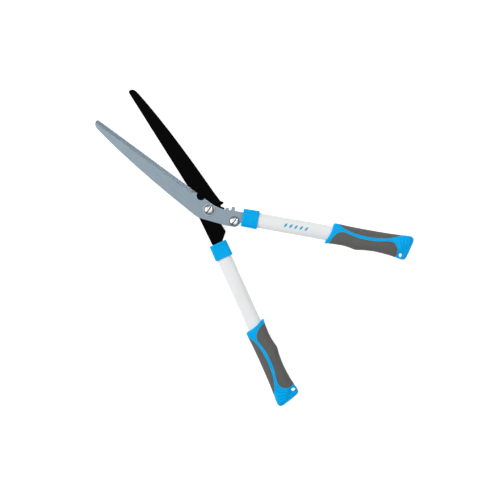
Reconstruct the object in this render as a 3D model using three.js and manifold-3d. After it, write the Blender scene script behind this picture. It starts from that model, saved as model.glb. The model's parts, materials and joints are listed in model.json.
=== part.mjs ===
// Hedge shears: two crossed steel blades on one pivot bolt, oval tube handles and two-component grips.
// Millimetres, +Z up. The shears lie flat on z = 0, blades towards +Y, opened by `openAngle`.
//
// Three frames are used:
//   half frame    origin on the pivot axis, cutting edge along +Y, cutting side +X, and +Z from the
//                 plane where the blades meet out to this half's own face;
//   handle frame  x = u along the tube's axis away from the pivot, y = v towards the outer side,
//                 z as in the half frame;
//   part frame    both halves put together, with the rear half turned over.
import * as THREE from "three";
import { mergeVertices } from "three/addons/utils/BufferGeometryUtils.js";
import Module from "manifold-3d";

const wasm = await Module();
wasm.setup();

// ---- Driving dimensions ----

const radians = THREE.MathUtils.degToRad;
const openAngle = radians(21.4); // between the two cutting edges
const restDepth = 13.5; // from the blades' meeting plane down to the surface they lie on
const fit = 0.3; // gap between fixed pieces that touch
const runningFit = 0.08; // of the bush on the pivot bolt

const blade = {
  thickness: 3,
  gap: 0.4, // between the two blades' faces
  length: 229.6, // pivot to tip
  bevelWidth: 6,
  edgeThickness: 0.8,
  tangWidth: 16,
  tangEnd: 112, // along the handle
};
// edge: the cutting edge's distance from the pivot. wider: what the blade gains towards its spine.
// heel: where the ground bevel starts, along the edge. bend: the handle's angle away from straight.
// pivotV: the pivot's own v. gripShift: how much further out this half's grip sits on its tube.
const front = { edge: 10.3, wider: 0.6, heel: 31, bend: radians(26.05), pivotV: 2.4, gripShift: -2.1 };
const rear = { edge: 9.0, wider: 0, heel: 19, bend: radians(7.95), pivotV: -9.45, gripShift: 1 };

// power: of the section's superellipse, where 2 is an ellipse.
const tube = { start: 59.2, end: 305, width: 24.8, height: 16, wall: 1.2, power: 2.3 };
const collar = { start: 54.4, end: 80.2, width: 29.2, height: 19.4, frontWall: 3, power: 3.2 };
const collarPanel = { margin: 3.6, halfWidth: 8.6, z: 9.2 }; // a shallow recess on each face
const plug = { start: 60.5, end: 116 };
const pin = { at: 70, radius: 2, length: 15.8 };

// flange and end: the grip's two ends as seen from above, each leaning over its width. The flange
// also bows.
const grip = {
  flange: { u: 197, lean: 5.2, bow: 2.5 },
  end: { u: 329.4, lean: 5.2 },
  middle: 257,
  padDepth: 2.2,
  skinPower: 2.5,
  flangeRound: 2.8,
  endRound: [4.5, 8.5], // at the inner and the outer corner
  hangHole: { u: 316, v: -14, radius: 3.3, landRadius: 4.9, landZ: 9.6 },
};

const pivot = {
  shank: 4, // M8
  head: 8,
  headHeight: 4.2,
  slot: 1.7,
  bush: 6,
  washer: 10.2,
  rearWasher: 8.5,
  nutFlats: 13,
};
const bumper = {
  u: 43.1,
  v: -8.6,
  lug: 8.7, // the tang's own rounding about the screw
  radius: 6.5,
  depth: 6,
  shank: 3, // M6
  head: 7.8,
  headHeight: 3.8,
  slot: 1.6,
  washer: 6,
  nutFlats: 10,
  nutHeight: 5,
};

// ---- Materials ----

function material(color, roughness, metalness) {
  return new THREE.MeshStandardMaterial({ color, roughness, metalness });
}
const materials = {
  steel: material(0x93a2ad, 0.42, 0.9),
  coated: material(0x060606, 0.5, 0.1),
  tube: material(0xeef1f2, 0.35, 0.3),
  blue: material(0x0ca9e7, 0.4, 0),
  rubber: material(0x646564, 0.8, 0),
  zinc: material(0xd8dadb, 0.25, 1),
  bufferRubber: material(0x1a1a1a, 0.85, 0),
  nylon: material(0xe4e2da, 0.5, 0),
  plugPlastic: material(0x2a2c2e, 0.7, 0),
};

// ---- Solids ----

// A closed geometry as a solid that can be joined and cut.
function solid(geometry) {
  const bare = new THREE.BufferGeometry();
  bare.setAttribute("position", geometry.getAttribute("position"));
  bare.setIndex(geometry.index);
  const merged = mergeVertices(bare, 1e-4);
  return new wasm.Manifold(
    new wasm.Mesh({
      numProp: 3,
      vertProperties: new Float32Array(merged.attributes.position.array),
      triVerts: new Uint32Array(merged.index.array),
    }),
  );
}

// The solid's largest body as a named mesh: cuts can leave a crumb at a thin corner.
function piece(name, made, look) {
  const bodies = made.decompose().sort((a, b) => b.volume() - a.volume());
  const shape = bodies[0].getMesh();
  const geometry = new THREE.BufferGeometry();
  geometry.setAttribute("position", new THREE.BufferAttribute(shape.vertProperties, 3));
  geometry.setIndex(new THREE.BufferAttribute(shape.triVerts, 1));
  geometry.computeVertexNormals();
  const mesh = new THREE.Mesh(geometry, look);
  mesh.name = name;
  return mesh;
}

// A flat shape in x and y, raised from z = bottom to z = top.
function prism(shape, bottom, top, curveSegments = 12) {
  const options = { depth: top - bottom, bevelEnabled: false, curveSegments };
  return solid(new THREE.ExtrudeGeometry(shape, options).translate(0, 0, bottom));
}

// A round bar along z.
function disc(radius, bottom, top, x = 0, y = 0, sides = 28) {
  const cylinder = new THREE.CylinderGeometry(radius, radius, top - bottom, sides);
  return solid(cylinder.rotateX(Math.PI / 2).translate(x, y, (top + bottom) / 2));
}

function ring(outer, inner, bottom, top) {
  return disc(outer, bottom, top).subtract(disc(inner, bottom - 1, top + 1));
}

function box(x0, x1, y0, y1, z0, z1) {
  const geometry = new THREE.BoxGeometry(x1 - x0, y1 - y0, z1 - z0);
  return solid(geometry.translate((x0 + x1) / 2, (y0 + y1) / 2, (z0 + z1) / 2));
}

function hexagon(flats, bottom, top) {
  return disc(flats / Math.sqrt(3), bottom, top, 0, 0, 6);
}

// A superellipse in v and z, extruded along u. The power 2 is an ellipse, a higher one is boxier.
function ovalBar(width, height, power, start, end, sides = 32) {
  const outline = [];
  for (let i = 0; i < sides; i++) {
    const [t, s] = superellipse((2 * Math.PI * i) / sides, power);
    outline.push(new THREE.Vector2((t * width) / 2, (s * height) / 2));
  }
  const options = { depth: end - start, bevelEnabled: false };
  const bar = new THREE.ExtrudeGeometry(new THREE.Shape(outline), options);
  return solid(bar.rotateX(Math.PI / 2).rotateZ(Math.PI / 2).translate(start, 0, 0));
}

function superellipse(angle, power) {
  const c = Math.cos(angle);
  const s = Math.sin(angle);
  return [
    Math.sign(c) * Math.abs(c) ** (2 / power),
    Math.sign(s) * Math.abs(s) ** (2 / power),
  ];
}

// ---- Blades ----

// Turns a point of the handle frame into a point of that half's frame.
function handlePoint(side, u, v) {
  const out = v - side.pivotV;
  const s = Math.sin(side.bend);
  const c = Math.cos(side.bend);
  return new THREE.Vector2(u * s + out * c, -u * c + out * s);
}

// Draws on a shape with points given in the handle frame.
function handlePen(shape, side) {
  const at = (u, v) => handlePoint(side, u, v);
  return {
    line: (u, v) => shape.lineTo(at(u, v).x, at(u, v).y),
    curve: (cu, cv, u, v) =>
      shape.quadraticCurveTo(at(cu, cv).x, at(cu, cv).y, at(u, v).x, at(u, v).y),
  };
}

// The stretch both blades share: up the cutting edge, round the tip and down the spine.
function drawCuttingLength(shape, side, spineFoot) {
  const edge = side.edge;
  const back = edge - side.wider;
  const tip = blade.length;
  const tipRound = 3.2;
  shape.lineTo(edge, tip - tipRound);
  shape.absarc(edge - tipRound, tip - tipRound, tipRound, 0, Math.PI / 2);
  shape.bezierCurveTo(edge - 8.5, tip, back - 10.8, tip - 3.8, back - 12.1, tip - 10.2);
  shape.splineThru([
    new THREE.Vector2(back - 16.9, 188),
    new THREE.Vector2(back - 22.9, 134.6),
    new THREE.Vector2(back - 27.4, 76),
    new THREE.Vector2(back - 30.4, spineFoot),
  ]);
}

// A rounded tooth standing on the tang's outer edge, drawn towards the pivot.
function drawTooth(pen, u, halfWidth, foot, top) {
  pen.line(u + halfWidth + 1.4, foot);
  pen.curve(u + halfWidth, foot + 0.6, u + halfWidth, foot + 1.8);
  pen.line(u + halfWidth, top - halfWidth);
  pen.curve(u + halfWidth, top, u, top);
  pen.curve(u - halfWidth, top, u - halfWidth, top - halfWidth);
  pen.line(u - halfWidth, foot + 0.8);
  pen.curve(u - halfWidth, foot, u - halfWidth - 0.9, foot);
}

function frontOutline() {
  const half = blade.tangWidth / 2;
  const notch = { y: 23.6, radius: 7.1 };
  const shape = new THREE.Shape();
  const pen = handlePen(shape, front);
  const start = handlePoint(front, blade.tangEnd, half);
  shape.moveTo(start.x, start.y);
  pen.line(54, half);
  drawTooth(pen, 37.6, 2.7, 8.1, 14.3);
  drawTooth(pen, 28.3, 2.7, 7.2, 10.8);
  shape.quadraticCurveTo(front.edge - 0.6, -6, front.edge, 8);
  shape.lineTo(front.edge, notch.y - notch.radius);
  shape.absarc(front.edge, notch.y, notch.radius, -Math.PI / 2, Math.PI / 2, true);
  drawCuttingLength(shape, front, 14);
  shape.quadraticCurveTo(front.edge - 31, 8, front.edge - 29.5, 2.8);
  pen.line(23, -16.8);
  pen.line(31, -17.4);
  const centre = handlePoint(front, bumper.u, bumper.v);
  const turn = front.bend - Math.PI / 2;
  shape.absarc(centre.x, centre.y, bumper.lug, turn - Math.PI / 2, turn - 0.45);
  pen.line(54.5, -half);
  pen.line(blade.tangEnd, -half);
  return shape;
}

function rearOutline() {
  const half = blade.tangWidth / 2;
  const shape = new THREE.Shape();
  const pen = handlePen(shape, rear);
  const start = handlePoint(rear, blade.tangEnd, half);
  shape.moveTo(start.x, start.y);
  pen.line(55, half);
  pen.line(52.5, 9.2);
  pen.line(4.4, 10.6);
  shape.bezierCurveTo(18.6, 9, rear.edge, 8, rear.edge, 18);
  drawCuttingLength(shape, rear, 20);
  shape.lineTo(rear.edge - 31.9, 2.4);
  // Two small hooks beside the pivot, on the spine's side.
  shape.quadraticCurveTo(-25.2, -0.4, -26, -1.9);
  shape.quadraticCurveTo(-25.4, -3.8, -23, -3.6);
  shape.lineTo(-20.4, -3.7);
  shape.quadraticCurveTo(-18.4, -4.4, -19.2, -6.2);
  shape.lineTo(-21.8, -9.2);
  shape.quadraticCurveTo(-22.8, -11, -21, -12);
  // Towards the ear that the bumper's rubber meets when the handles close.
  const earStart = handlePoint(rear, 28.9, -17.8);
  shape.quadraticCurveTo(-10, -15, earStart.x, earStart.y);
  pen.line(40.6, -19.4);
  pen.curve(42.6, -19.7, 44, -18.2);
  pen.line(54.7, -half);
  pen.line(blade.tangEnd, -half);
  return shape;
}

// Takes the wedge off the outer face that leaves the ground cutting edge.
function groundWedge(side) {
  const top = blade.gap / 2 + blade.thickness;
  const over = 1;
  const slope = (blade.thickness - blade.edgeThickness) / blade.bevelWidth;
  const wedge = new THREE.Shape();
  wedge.moveTo(side.edge - blade.bevelWidth - over, top + over * slope);
  wedge.lineTo(side.edge + over, top - (blade.bevelWidth + over) * slope);
  wedge.lineTo(side.edge + over, top + over);
  const length = blade.length + over - side.heel;
  const bar = new THREE.ExtrudeGeometry(wedge, { depth: length, bevelEnabled: false });
  return solid(bar.rotateX(Math.PI / 2).translate(0, blade.length + over, 0));
}

// The stamping with its ground edge, its pivot hole and its hole for the tang pin.
function bladeSolid(side, outline, pivotHole) {
  const bottom = blade.gap / 2;
  const top = bottom + blade.thickness;
  const pinHole = handlePoint(side, pin.at, 0);
  return prism(outline, bottom, top, 6)
    .subtract(groundWedge(side))
    .subtract(disc(pivotHole, bottom - 1, top + 1))
    .subtract(disc(pin.radius + fit, bottom - 1, top + 1, pinHole.x, pinHole.y, 20));
}

function frontBlade() {
  const top = blade.gap / 2 + blade.thickness;
  const bumperHole = handlePoint(front, bumper.u, bumper.v);
  const made = bladeSolid(front, frontOutline(), pivot.bush + fit)
    .subtract(disc(bumper.shank + fit, 0, top + 1, bumperHole.x, bumperHole.y));
  return piece("front_blade", made, materials.steel);
}

function rearBlade() {
  const made = bladeSolid(rear, rearOutline(), pivot.shank + fit);
  return piece("rear_blade", made, materials.coated);
}

// ---- Handle: collar, plug, pin and tube, in the handle frame ----

// The room that the flat tang needs, from u = start to u = end.
function tangSlot(start, end) {
  const half = blade.tangWidth / 2 + fit;
  const bottom = blade.gap / 2;
  return box(start, end, -half, half, bottom - fit, bottom + blade.thickness + fit);
}

function collarPiece(name) {
  const bore = [tube.width + 2 * fit, tube.height + 2 * fit];
  const { margin, halfWidth, z } = collarPanel;
  const panel = [collar.start + margin, collar.end - margin, -halfWidth, halfWidth];
  const made = ovalBar(collar.width, collar.height, collar.power, collar.start, collar.end)
    .subtract(ovalBar(...bore, tube.power, collar.start + collar.frontWall, collar.end + 1))
    .subtract(tangSlot(collar.start - 1, collar.end))
    .subtract(box(...panel, z, collar.height))
    .subtract(box(...panel, -collar.height, -z));
  return piece(name, made, materials.blue);
}

function tubePiece(name) {
  const inner = [tube.width - 2 * tube.wall, tube.height - 2 * tube.wall];
  const made = ovalBar(tube.width, tube.height, tube.power, tube.start, tube.end)
    .subtract(ovalBar(...inner, tube.power, tube.start - 1, tube.end + 1))
    .subtract(disc(pin.radius + fit, -tube.height, tube.height, pin.at, 0, 20));
  return piece(name, made, materials.tube);
}

function plugPiece(name) {
  const shrink = 2 * (tube.wall + fit);
  const size = [tube.width - shrink, tube.height - shrink];
  const made = ovalBar(...size, tube.power, plug.start, plug.end)
    .subtract(tangSlot(plug.start - 1, blade.tangEnd + fit))
    .subtract(disc(pin.radius + fit, -tube.height, tube.height, pin.at, 0, 20));
  return piece(name, made, materials.plugPlastic);
}

function pinPiece(name) {
  const made = disc(pin.radius, -pin.length / 2, pin.length / 2, pin.at, 0, 20);
  return piece(name, made, materials.zinc);
}

// ---- Grip, in the handle frame ----

// The grip's outer and inner edge as seen from above, and its half thickness, each along u.
const outerEdge = curveAlong([
  [190, 16.9],
  [206, 17.9],
  [216, 16.9],
  [240, 16.2],
  [275, 16.3],
  [303, 17.1],
  [320, 18.7],
  [345, 19],
]);
const innerEdge = curveAlong([
  [185, -18.2],
  [194, -17.4],
  [204, -15.7],
  [222, -15.2],
  [235, -16.7],
  [244, -18.2],
  [256, -16.5],
  [272, -15.5],
  [288, -16.1],
  [303, -17.7],
  [315, -20.4],
  [330, -21.3],
]);
const halfThickness = curveAlong([
  [190, 12.4],
  [205, 12.3],
  [240, 13.9],
  [282, 13.9],
  [305, 12.9],
  [340, 13],
]);

// Where each soft pad ends on the grip's face, from the flange to the end, as points (u, v).
const palmPadEdge = [
  [206, 21],
  [211, 16.4],
  [220, 11.2],
  [232, 7.4],
  [246, 5.3],
  [262, 4.7],
  [278, 5.9],
  [290, 8.4],
  [300, 11.7],
  [307, 15.1],
  [314, 21],
];
const fingerPadEdge = [
  [197, -24],
  [200.5, -14.5],
  [204, -5.5],
  [208.5, 1],
  [214, 4.8],
  [221, 5.9],
  [232, 3.4],
  [246, 1.1],
  [262, 0.7],
  [276, 1.7],
  [290, 4.1],
  [299, 4.4],
  [305, 1.2],
  [308.8, -4.5],
  [309.9, -11],
  [307.9, -18.5],
  [305.5, -24],
];

// A smooth height over u through a few points.
function curveAlong(points) {
  const spline = new THREE.SplineCurve(points.map(([u, v]) => new THREE.Vector2(u, v)));
  const table = spline.getPoints(200);
  return (u) => {
    const after = Math.max(1, table.findIndex((p) => p.x > u));
    const [a, b] = [table[after - 1], table[after]];
    return THREE.MathUtils.mapLinear(u, a.x, b.x, a.y, b.y);
  };
}

// A point of the grip's skin. s runs from the flange, 0, to the end, 1, and angle goes round the
// section. inset moves it inwards, and shift moves it along u.
function skinPoint(s, angle, inset, shift) {
  const [t, up] = superellipse(angle, grip.skinPower);
  const flange = (x) => grip.flange.u + grip.flange.lean * x + grip.flange.bow * (1 - x * x);
  const end = (x) => grip.end.u + grip.end.lean * x;
  const along = (x) => THREE.MathUtils.lerp(flange(x), end(x), s);
  const top = outerEdge(along(1));
  const bottom = innerEdge(along(-1));
  const half = (top - bottom) / 2 - inset;
  const x = (t * half) / (half + inset);
  return new THREE.Vector3(
    along(x) + shift,
    (top + bottom) / 2 + half * t,
    (halfThickness(along(0)) - inset) * up,
  );
}

// The grip's whole skin as a solid, moved inwards by inset, with rounded ends.
function skinSolid(inset, sides, stations) {
  const roundSteps = 3;
  const rings = [];
  const addRing = (s, round, turn) => {
    const points = [];
    for (let i = 0; i < sides; i++) {
      const angle = (2 * Math.PI * (i + 0.5)) / sides;
      const radius = Math.max(0, round(superellipse(angle, grip.skinPower)[0]) - inset);
      const shift = radius * (Math.sin(turn) - Math.sign(turn)) - inset * Math.sign(turn);
      const drawnIn = inset + radius * (1 - Math.cos(turn));
      points.push(skinPoint(s, angle, drawnIn, shift));
    }
    rings.push(points);
  };
  const flangeRound = () => grip.flangeRound;
  const endRound = (t) => THREE.MathUtils.mapLinear(t, -1, 1, ...grip.endRound);
  for (let i = 0; i <= roundSteps; i++)
    addRing(0, flangeRound, (-Math.PI / 2) * (1 - i / (roundSteps + 0.4)));
  for (let i = 1; i < stations; i++) addRing(i / stations, () => 0, 0);
  for (let i = 0; i <= roundSteps; i++)
    addRing(1, endRound, (Math.PI / 2) * ((i + 0.4) / (roundSteps + 0.4)));
  return solid(loft(rings));
}

// Rings of the same number of points, joined one to the next and closed at both ends.
function loft(rings) {
  const count = rings[0].length;
  const points = rings.flat();
  const faces = [];
  for (let r = 0; r + 1 < rings.length; r++)
    for (let i = 0; i < count; i++) {
      const a = r * count + i;
      const b = r * count + ((i + 1) % count);
      faces.push(a, b, b + count, a, b + count, a + count);
    }
  const cap = (ringIndex, outwards) => {
    const middle = new THREE.Vector3();
    rings[ringIndex].forEach((p) => middle.addScaledVector(p, 1 / count));
    points.push(middle);
    for (let i = 0; i < count; i++) {
      const edge = [ringIndex * count + i, ringIndex * count + ((i + 1) % count)];
      if (!outwards) edge.reverse();
      faces.push(points.length - 1, ...edge);
    }
  };
  cap(0, false);
  cap(rings.length - 1, true);
  const geometry = new THREE.BufferGeometry().setFromPoints(points);
  return geometry.setIndex(faces);
}

// The room of one pad, seen from above, made larger by grow.
function padRoom(edge, far, grow) {
  const curve = new THREE.SplineCurve(edge.map(([u, v]) => new THREE.Vector2(u, v)));
  const middle = new THREE.Vector2(grip.middle, far);
  const points = curve.getPoints(28).map((p) => {
    const away = p.clone().sub(middle).normalize();
    return p.addScaledVector(away, grow);
  });
  const shape = new THREE.Shape(points);
  shape.lineTo(points.at(-1).x, far);
  shape.lineTo(points[0].x, far);
  return prism(shape, -20, 20);
}

function gripPieces(prefix) {
  const flats = box(150, 360, -60, 60, -restDepth, restDepth);
  const skin = skinSolid(0, 26, 18).intersect(flats);
  const floor = skinSolid(grip.padDepth, 14, 8);
  const lowered = skinSolid(grip.padDepth + fit, 14, 8);
  const palm = skin.intersect(padRoom(palmPadEdge, 30, 0)).subtract(floor);
  const finger = skin.intersect(padRoom(fingerPadEdge, -30, 0)).subtract(floor);
  const body = skin
    .subtract(padRoom(palmPadEdge, 30, fit))
    .subtract(padRoom(fingerPadEdge, -30, fit))
    .add(lowered)
    .subtract(gripSocket())
    .subtract(hangHoleRoom());
  return [
    piece(`${prefix}_grip_body`, body, materials.blue),
    piece(`${prefix}_palm_pad`, palm, materials.rubber),
    piece(`${prefix}_finger_pad`, finger, materials.rubber),
  ];
}

// The front half's tube goes further into its grip, so its length sets the depth.
function gripSocket() {
  const size = [tube.width + 2 * fit, tube.height + 2 * fit];
  return ovalBar(...size, tube.power, 180, tube.end + fit - front.gripShift);
}

// The hang hole, with a flat landing round it on both faces.
function hangHoleRoom() {
  const { u, v, radius, landRadius, landZ } = grip.hangHole;
  const flare = 8;
  const profile = [
    [0, landZ],
    [landRadius, landZ],
    [landRadius + flare, landZ + flare],
    [0, landZ + flare],
  ].map(([r, z]) => new THREE.Vector2(r, z));
  const dish = () => new THREE.LatheGeometry([...profile, profile[0]], 28);
  const upper = solid(dish().rotateX(Math.PI / 2).translate(u, v, 0));
  const lower = solid(dish().rotateX(-Math.PI / 2).translate(u, v, 0));
  return disc(radius, -20, 20, u, v, 28).add(upper).add(lower);
}

// ---- Fasteners, on their own axis ----

// A domed head with a straight slot across it, on a round shank below.
function slottedBolt(shank, head, headHeight, slot, headBottom, end) {
  const rim = headHeight * 0.35;
  const profile = new THREE.Path();
  profile.moveTo(0, headBottom);
  profile.lineTo(head, headBottom);
  profile.lineTo(head, headBottom + rim);
  const top = headBottom + headHeight;
  profile.bezierCurveTo(head - 0.4, top - 0.5, head * 0.55, top, 0, top);
  const points = profile.getPoints(5);
  const dome = solid(new THREE.LatheGeometry([...points, points[0]], 32).rotateX(Math.PI / 2));
  return dome
    .add(disc(shank, end, headBottom + rim / 2))
    .subtract(box(-20, 20, -slot / 2, slot / 2, top - headHeight * 0.42, top + 1));
}

// A spring washer with three waves.
function waveWasher(outer, inner, bottom, top) {
  const count = 36;
  const thickness = 0.5;
  const rise = (top - bottom - thickness) / 2;
  const points = [];
  for (let i = 0; i < count; i++) {
    const angle = (2 * Math.PI * i) / count;
    const z = bottom + thickness / 2 + rise * (1 + Math.sin(3 * angle));
    for (const [r, dz] of [
      [inner, -0.5],
      [outer, -0.5],
      [outer, 0.5],
      [inner, 0.5],
    ])
      points.push(
        new THREE.Vector3(r * Math.cos(angle), r * Math.sin(angle), z + dz * thickness),
      );
  }
  const faces = [];
  for (let i = 0; i < count; i++)
    for (let k = 0; k < 4; k++) {
      const [a, b] = [4 * i + k, 4 * i + ((k + 1) % 4)];
      const next = 4 * ((i + 1) % count) - 4 * i;
      faces.push(a, b + next, b, a, a + next, b + next);
    }
  return solid(new THREE.BufferGeometry().setFromPoints(points).setIndex(faces));
}

// The pivot, from the head above the front blade down to the nut that the shears lie on.
function pivotPieces() {
  const face = blade.gap / 2 + blade.thickness;
  const gap = 0.2;
  const washerTop = face + gap + 1.2;
  const waveBottom = -face - 1.5;
  const rearWasherBottom = waveBottom - gap - 1.2;
  const nutTop = rearWasherBottom - gap;
  const nutShoulder = -restDepth + 1.9;
  const nylonRoom = 5.2;
  const bolt = slottedBolt(
    pivot.shank,
    pivot.head,
    pivot.headHeight,
    pivot.slot,
    washerTop + gap,
    -restDepth + 0.4,
  );
  const bore = pivot.shank + fit;
  const nut = hexagon(pivot.nutFlats, nutShoulder, nutTop)
    .add(disc(pivot.nutFlats / 2 - 0.1, -restDepth, nutShoulder + 0.5))
    .subtract(disc(bore, -20, 0))
    .subtract(disc(nylonRoom, -20, nutShoulder));
  const nylon = ring(nylonRoom - 0.2, bore, -restDepth + 0.3, nutShoulder - 0.2);
  return [
    piece("pivot_bolt", bolt, materials.zinc),
    piece("pivot_head_washer", ring(pivot.washer, bore, face + gap, washerTop), materials.zinc),
    piece("pivot_wave_washer", waveWasher(8, bore, waveBottom, -face - gap), materials.zinc),
    piece(
      "pivot_nut_washer",
      ring(pivot.rearWasher, bore, rearWasherBottom, waveBottom - gap),
      materials.zinc,
    ),
    piece("pivot_lock_nut", nut, materials.zinc),
    piece("pivot_nut_nylon_ring", nylon, materials.nylon),
  ];
}

function pivotBush() {
  const bottom = blade.gap / 2;
  const bore = pivot.shank + runningFit;
  const made = ring(pivot.bush, bore, bottom, bottom + blade.thickness);
  return piece("pivot_bush", made, materials.nylon);
}

// The bumper's own screw, rubber, washer and nut, placed on the front blade's tang.
function bumperGroup() {
  const face = blade.gap / 2 + blade.thickness;
  const gap = 0.2;
  const bore = bumper.shank + fit;
  const rubberTop = blade.gap / 2 - gap;
  const rubberBottom = rubberTop - bumper.depth;
  const washerBottom = rubberBottom - gap - 1;
  const nutTop = washerBottom - gap;
  const nutBottom = nutTop - bumper.nutHeight;
  const screw = slottedBolt(
    bumper.shank,
    bumper.head,
    bumper.headHeight,
    bumper.slot,
    face + gap,
    nutBottom - 0.3,
  );
  const washer = ring(bumper.washer, bore, washerBottom, rubberBottom - gap);
  const nut = hexagon(bumper.nutFlats, nutBottom, nutTop).subtract(disc(bore, -20, 0));
  const group = new THREE.Group();
  group.add(
    piece("bumper_screw", screw, materials.zinc),
    piece("bumper_rubber", ring(bumper.radius, bore, rubberBottom, rubberTop), materials.bufferRubber),
    piece("bumper_washer", washer, materials.zinc),
    piece("bumper_nut", nut, materials.zinc),
  );
  const centre = handlePoint(front, bumper.u, bumper.v);
  group.position.set(centre.x, centre.y, 0);
  return group;
}

// ---- Assembly ----

function handleGroup(prefix, side) {
  const gripGroup = new THREE.Group();
  gripGroup.add(...gripPieces(prefix));
  gripGroup.position.x = side.gripShift;
  const group = new THREE.Group();
  group.add(
    collarPiece(`${prefix}_collar`),
    plugPiece(`${prefix}_tang_plug`),
    pinPiece(`${prefix}_tang_pin`),
    tubePiece(`${prefix}_tube`),
    gripGroup,
  );
  const foot = handlePoint(side, 0, 0);
  group.position.set(foot.x, foot.y, 0);
  group.rotation.z = side.bend - Math.PI / 2;
  return group;
}

function frontHalf() {
  const half = new THREE.Group();
  half.add(frontBlade(), pivotBush(), bumperGroup(), handleGroup("front", front));
  half.rotation.z = openAngle / 2;
  return half;
}

// The rear half is turned over, so that its cutting side faces the front blade's.
function rearHalf() {
  const turnedOver = new THREE.Group();
  turnedOver.add(rearBlade(), handleGroup("rear", rear));
  turnedOver.rotation.y = Math.PI;
  const half = new THREE.Group();
  half.add(turnedOver);
  half.rotation.z = -openAngle / 2;
  return half;
}

// The bolt's slot lies across the front blade.
function pivotGroup() {
  const group = new THREE.Group();
  group.add(...pivotPieces());
  group.rotation.z = openAngle / 2;
  return group;
}

const shears = new THREE.Group();
shears.add(frontHalf(), rearHalf(), pivotGroup());

// The origin is at the middle of the whole object's base.
const bounds = new THREE.Box3().setFromObject(shears);
const middle = bounds.getCenter(new THREE.Vector3());
shears.position.set(-middle.x, -middle.y, -bounds.min.z);

export default shears;
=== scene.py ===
"""Hedge shears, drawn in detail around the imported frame.

Lengths are in millimetres unless a name says otherwise. Three kinds of place are used, as in the part's
own source:
  half frame    origin on the pivot, cutting edge along +Y, cutting side +X, outer face towards +Z;
  handle frame  x = u along the tube away from the pivot, y = v towards the outer side, z as above;
  row frame     the finished object, in metres.
"""

import json
import math

import bmesh
import bpy
import numpy as np
from mathutils import Matrix, Vector


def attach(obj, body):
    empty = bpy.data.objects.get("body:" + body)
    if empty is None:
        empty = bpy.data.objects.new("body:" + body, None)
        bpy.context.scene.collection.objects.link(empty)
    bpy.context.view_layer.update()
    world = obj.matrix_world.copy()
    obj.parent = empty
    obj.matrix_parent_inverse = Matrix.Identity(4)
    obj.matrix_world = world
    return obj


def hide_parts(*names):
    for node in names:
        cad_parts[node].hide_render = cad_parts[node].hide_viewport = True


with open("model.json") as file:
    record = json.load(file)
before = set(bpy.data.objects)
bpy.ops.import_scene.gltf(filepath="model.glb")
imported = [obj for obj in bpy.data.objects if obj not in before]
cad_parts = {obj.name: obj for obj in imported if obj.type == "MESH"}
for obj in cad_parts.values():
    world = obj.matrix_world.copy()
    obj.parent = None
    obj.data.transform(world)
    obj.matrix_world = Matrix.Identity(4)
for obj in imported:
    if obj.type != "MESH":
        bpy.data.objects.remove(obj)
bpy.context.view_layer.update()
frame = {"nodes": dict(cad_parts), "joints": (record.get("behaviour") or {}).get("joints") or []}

# ---- Driving dimensions ----

MM = 0.001  # metres
OPEN_ANGLE = math.radians(21.4)
REST_DEPTH = 13.5  # from the plane between the blades down to the floor

BLADE_TOP = 3.2  # the blade's outer face
BLADE_BOTTOM = 0.2  # its inner face
BLADE_LENGTH = 229.6
BEVEL_WIDTH = 6
EDGE_THICKNESS = 0.8
TANG_WIDTH = 16
TANG_END = 112
TANG_PIN = {"u": 70, "radius": 2.3}

# edge is the cutting edge's x, wider is what this blade has over the other, heel is where the bevel
# starts, and pivot_v is the pivot's v in the handle frame.
FRONT = {
    "edge": 10.3, "wider": 0.6, "heel": 31,
    "bend": math.radians(26.05), "pivot_v": 2.4, "grip_shift": -2.1,
}
REAR = {
    "edge": 9.0, "wider": 0, "heel": 19,
    "bend": math.radians(7.95), "pivot_v": -9.45, "grip_shift": 1,
}

# Every power is a superellipse's: 2 is an ellipse, and more is squarer. The grip's width and height are
# rough, and only spread its points.
TUBE = {"start": 59.2, "end": 305, "width": 24.8, "height": 16, "power": 2.3}
BORE_GAP = 0.5  # how much wider and higher the bores round the tube are
COLLAR = {"start": 54.4, "end": 80.2, "width": 28.6, "end_width": 29.9, "height": 19.4, "power": 3.6}
PANEL = {"half_width": 9.6, "margin": 4.2, "edge": 0.8, "depth": 0.6}  # let into the collar's faces
GRIP = {"flange": 197, "end": 329.4, "lean": 5.2, "bow": 2.5, "width": 36, "height": 27, "power": 2.5}
HANG_HOLE = {"u": 316, "v": -14, "radius": 3.3, "land_radius": 4.9, "land_z": 9.6}
FACE_Z = 6  # a point of a collar or grip beyond this height is on its upper or lower face

# Fasteners. A hole, bush, washer, ring, lug or shank is given by its radius.
GAP = 0.2  # between the stacked pieces of a fastener
PIVOT_SCREW = {"radius": 8, "height": 4.2, "shank": 4, "slot": 1.7}
PIVOT = {"hole": 4.3, "bush_hole": 6.3, "top_washer": 10.2, "low_washer": 8.5, "thickness": 1.2}
PIVOT_NUT = {"flats": 13, "wave_washer": 1.5, "lock_collar": 1.9}
BUMPER_SCREW = {"radius": 7.8, "height": 3.8, "shank": 3, "slot": 1.6}
BUMPER = {"u": 43.1, "v": -8.6, "hole": 3.3, "lug": 8.7, "ring": 6.5, "ring_height": 6}
BUMPER_NUT = {"flats": 10, "height": 5, "washer": 6, "washer_height": 1}

PIVOT_M = Vector(frame["joints"][0]["pos_m"])

# ---- Camera, first of all ----

CAMERA_ROLL = math.radians(-42.9)
CAMERA_HEIGHT_M = 2.3
VIEW_WIDTH_M = 0.8  # across the picture, at the height of the blades
VIEW_CENTRE = (4.1, -91.6)  # from the pivot


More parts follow.
